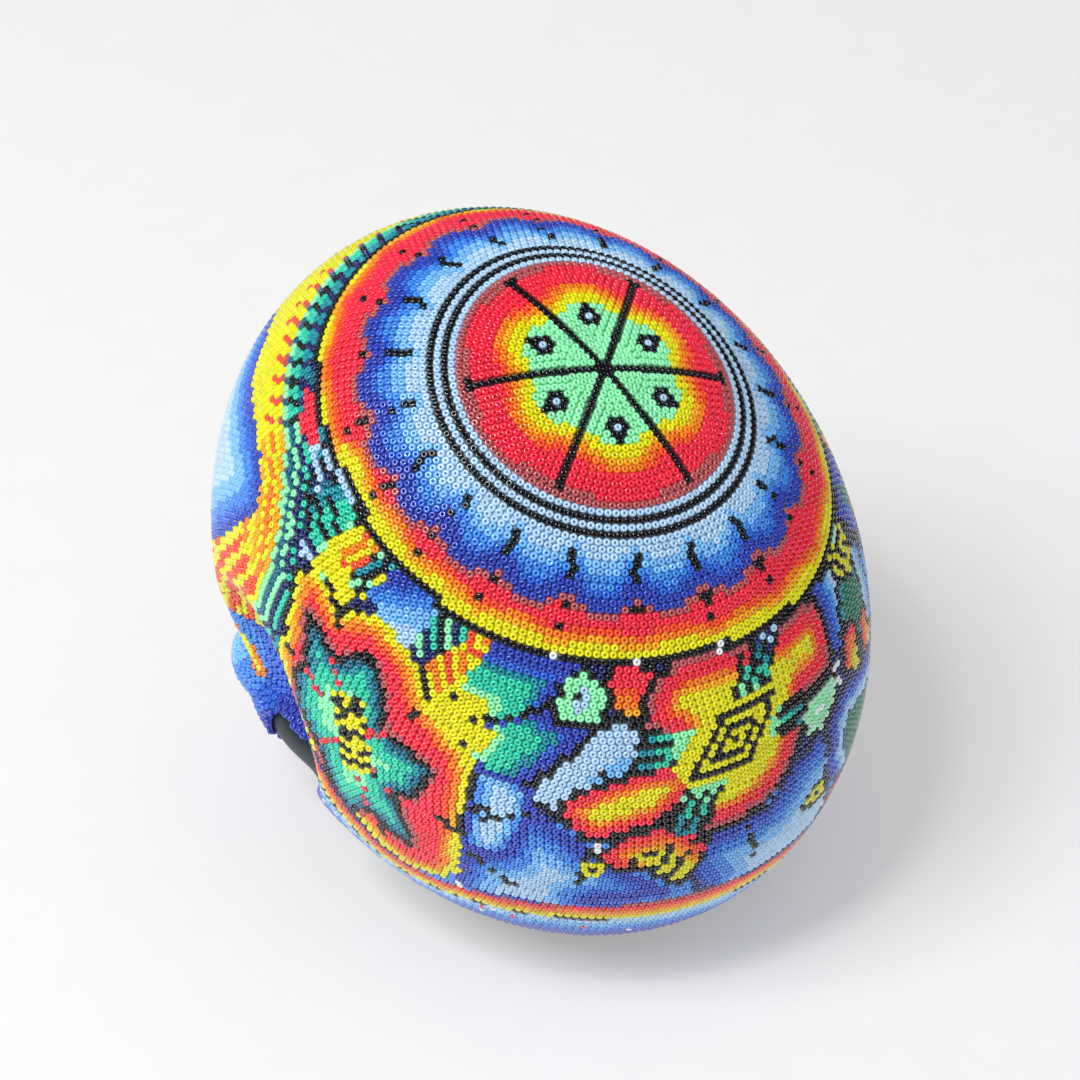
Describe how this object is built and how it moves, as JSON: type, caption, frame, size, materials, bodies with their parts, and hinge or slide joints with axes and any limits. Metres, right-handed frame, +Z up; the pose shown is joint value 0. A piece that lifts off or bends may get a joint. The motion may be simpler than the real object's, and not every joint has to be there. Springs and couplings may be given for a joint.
{
  "type": "beaded skull",
  "caption": "Life-size decorative skull covered all over with small glass seed beads in bright folk patterns, standing free on its flat base.",
  "frame": {"origin": "on the flat base, in the plane that divides left from right, below the middle of the widest outline", "axes": "+Z up, the face toward -Y, the left side of the skull toward +X"},
  "size_m": [0.158, 0.1784, 0.1595],
  "materials": {
    "resin": "satin",
    "wax": "matte",
    "beads_black": "gloss",
    "beads_blue": "gloss",
    "beads_red": "gloss",
    "beads_mint": "gloss",
    "beads_white": "gloss",
    "beads_yellow": "gloss"
  },
  "bodies": {
    "root": {"back_diamond_beads": "beads_yellow", "core_casting": "resin", "crown_border_beads": "beads_red", "crown_flower_beads": "beads_red", "crown_petal_beads": "beads_blue", "crown_ring_beads": "beads_black", "forehead_beads": "beads_yellow", "left_brow_beads": "beads_blue", "left_cheek_beads": "beads_blue", "left_rear_beads": "beads_blue", "left_side_beads": "beads_mint", "left_temple_halo_beads": "beads_red", "left_temple_star_beads": "beads_mint", "nose_beads": "beads_yellow", "right_brow_beads": "beads_blue", "right_cheek_beads": "beads_blue", "right_rear_beads": "beads_blue", "right_side_beads": "beads_mint", "right_temple_halo_beads": "beads_red", "right_temple_star_beads": "beads_mint", "rim_blue_beads": "beads_blue", "rim_rainbow_beads": "beads_red", "tooth_beads": "beads_white", "upper_jaw_beads": "beads_yellow", "wax_bed": "wax"}
  },
  "joints": []
}
